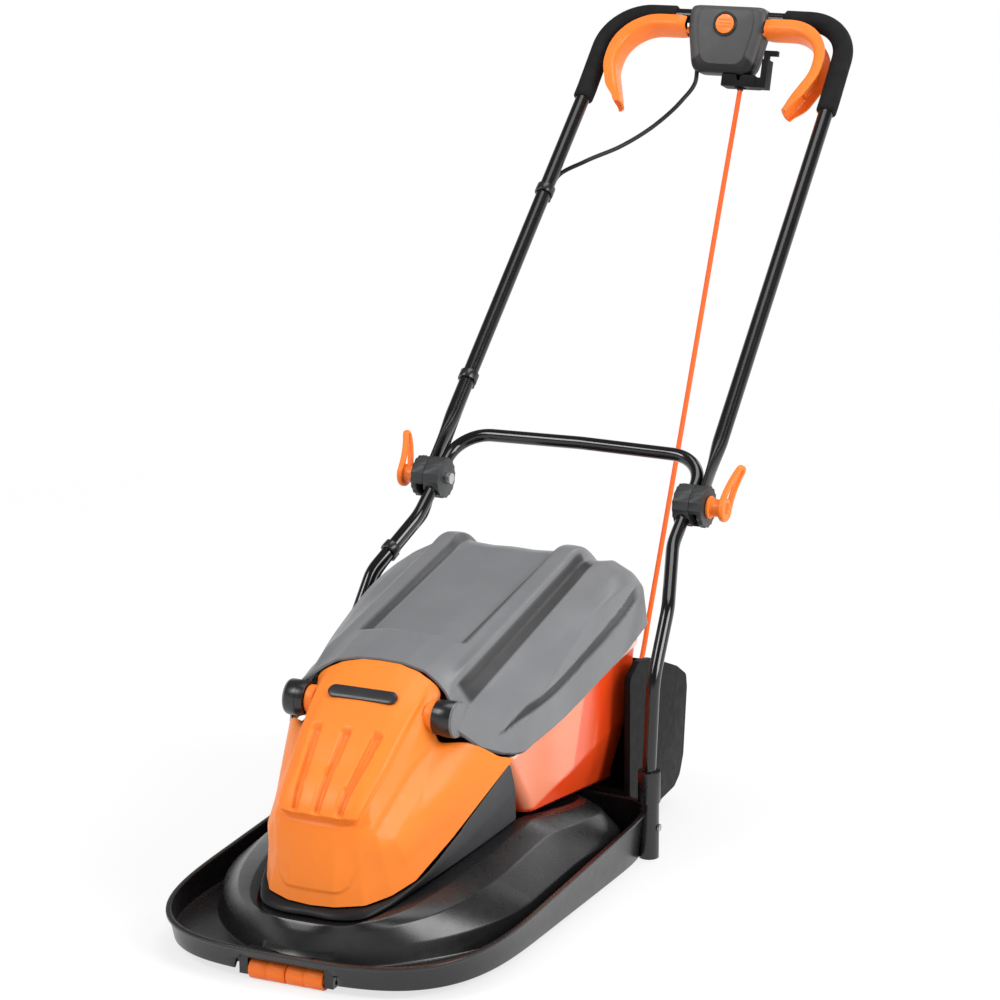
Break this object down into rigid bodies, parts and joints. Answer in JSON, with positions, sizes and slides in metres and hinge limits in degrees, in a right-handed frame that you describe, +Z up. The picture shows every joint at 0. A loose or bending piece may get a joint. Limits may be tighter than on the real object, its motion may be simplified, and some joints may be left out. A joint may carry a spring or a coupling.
{
  "type": "hover mower",
  "caption": "Electric hover mower with a lift-out grass box under a hinged lid, folding tube handle with squeeze levers and foam grips, front roller and mains lead.",
  "frame": {"origin": "on the ground, midway between the nose of the deck and the rear of the grip, on the centre plane", "axes": "+Z up, -Y towards the nose of the deck, +X to the right of a viewer who faces the nose from the front"},
  "size_m": [0.4708, 1.3636, 0.9568],
  "materials": {
    "black_plastic": "satin black moulding",
    "dark_grey_plastic": "fine grained dark grey moulding",
    "grey_plastic": "fine grained mid grey moulding",
    "orange_plastic": "smooth orange moulding",
    "roller_plastic": "satin orange moulding",
    "clear_red_plastic": "tinted translucent orange-red moulding",
    "black_tube": "gloss black powder coat",
    "foam": "closed-cell foam, matt",
    "steel": "plain steel",
    "copper": "enamelled copper and brass",
    "orange_lead": "smooth flexible sheath",
    "black_lead": "smooth flexible sheath"
  },
  "bodies": {
    "root": {"hood": "black_plastic", "handle_sockets": "black_plastic", "socket_screws": "steel", "body_shell": "dark_grey_plastic", "bulkhead": "dark_grey_plastic", "front_cover": "orange_plastic", "hinge_stubs": "orange_plastic", "cover_badge": "dark_grey_plastic", "grass_chute": "black_plastic", "lower_handle": "black_tube", "clamp_left": "dark_grey_plastic", "clamp_right": "dark_grey_plastic", "motor_can_lower": "dark_grey_plastic", "motor_can_upper": "dark_grey_plastic", "stator_core": "steel", "field_coils": "copper", "motor_bearings": "steel", "brush_holders": "copper", "motor_bolts": "steel", "roller_bracket": "black_plastic", "roller_axle": "steel", "lead_gland": "black_plastic", "lead_clips_lower": "black_plastic", "motor_lead_lower": "black_lead", "mains_lead": "orange_lead", "lead_coil": "orange_lead", "plug": "black_plastic"},
    "rotor": {"motor_shaft": "steel", "armature": "copper", "cooling_fan": "black_plastic", "impeller": "black_plastic", "blade_spacers": "orange_plastic", "cutting_blade": "steel", "blade_bolt": "steel"},
    "roller_left": {"roller_left": "roller_plastic"},
    "roller_right": {"roller_right": "roller_plastic"},
    "grass_box": {"grass_box": "clear_red_plastic"},
    "lid": {"lid": "grey_plastic", "lid_barrels": "black_plastic"},
    "upper_handle": {"upper_handle": "black_tube", "grip_left": "foam", "grip_right": "foam", "switch_box_front": "dark_grey_plastic", "switch_box_rear": "dark_grey_plastic", "box_screws": "steel", "micro_switch": "black_plastic", "lever_pins": "steel", "cable_restraint": "black_plastic", "lead_relief": "black_lead", "lead_clips_upper": "black_plastic", "motor_lead_upper": "black_lead", "motor_lead_loop": "black_lead", "clamp_caps": "dark_grey_plastic", "clamp_bolts": "steel", "button_spring": "steel"},
    "clamp_knob_left": {"clamp_knob_left": "orange_plastic"},
    "clamp_knob_right": {"clamp_knob_right": "orange_plastic"},
    "bail_lever_left": {"bail_lever_left": "orange_plastic"},
    "bail_lever_right": {"bail_lever_right": "orange_plastic"},
    "lock_button": {"lock_button": "orange_plastic"}
  },
  "joints": [
    {"name": "rotor_spin", "type": "hinge", "parent": "root", "child": "rotor", "pos_m": [0, -0.455, 0.1], "axis": [0, 0, 1], "continuous": true},
    {"name": "roller_left_spin", "type": "hinge", "parent": "root", "child": "roller_left", "pos_m": [-0.024, -0.66, 0.012], "axis": [1, 0, 0], "continuous": true},
    {"name": "roller_right_spin", "type": "hinge", "parent": "root", "child": "roller_right", "pos_m": [0.024, -0.66, 0.012], "axis": [1, 0, 0], "continuous": true},
    {"name": "grass_box_lift", "type": "slide", "parent": "root", "child": "grass_box", "axis": [0, 0, 1], "range_m": [0, 0.3]},
    {"name": "lid_hinge", "type": "hinge", "parent": "grass_box", "child": "lid", "pos_m": [0, -0.445, 0.2615], "axis": [1, 0, 0], "range_deg": [0, 75]},
    {"name": "handle_fold", "type": "hinge", "parent": "root", "child": "upper_handle", "pos_m": [0, 0.086, 0.395], "axis": [1, 0, 0], "range_deg": [0, 130], "deforming": ["motor_lead_loop"]},
    {"name": "knob_left_turn", "type": "hinge", "parent": "upper_handle", "child": "clamp_knob_left", "pos_m": [-0.21, 0.086, 0.395], "axis": [-1, 0, 0], "range_deg": [0, 360]},
    {"name": "knob_right_turn", "type": "hinge", "parent": "upper_handle", "child": "clamp_knob_right", "pos_m": [0.21, 0.086, 0.395], "axis": [1, 0, 0], "range_deg": [0, 360]},
    {"name": "bail_left_squeeze", "type": "hinge", "parent": "upper_handle", "child": "bail_lever_left", "pos_m": [-0.046, 0.6507, 0.92045], "axis": [0, 0.722, -0.6919], "range_deg": [0, 6.5], "stiffness_Nm_per_rad": 2, "springref_deg": -3.44},
    {"name": "bail_right_squeeze", "type": "hinge", "parent": "upper_handle", "child": "bail_lever_right", "pos_m": [0.046, 0.6507, 0.92045], "axis": [0, -0.722, 0.6919], "range_deg": [0, 6.5], "stiffness_Nm_per_rad": 2, "springref_deg": -3.44},
    {"name": "lock_button_press", "type": "slide", "parent": "upper_handle", "child": "lock_button", "axis": [0, 0.9511, -0.309], "range_m": [0, 0.0035], "stiffness_N_per_m": 300, "springref_m": -0.001, "deforming": ["button_spring"]}
  ]
}
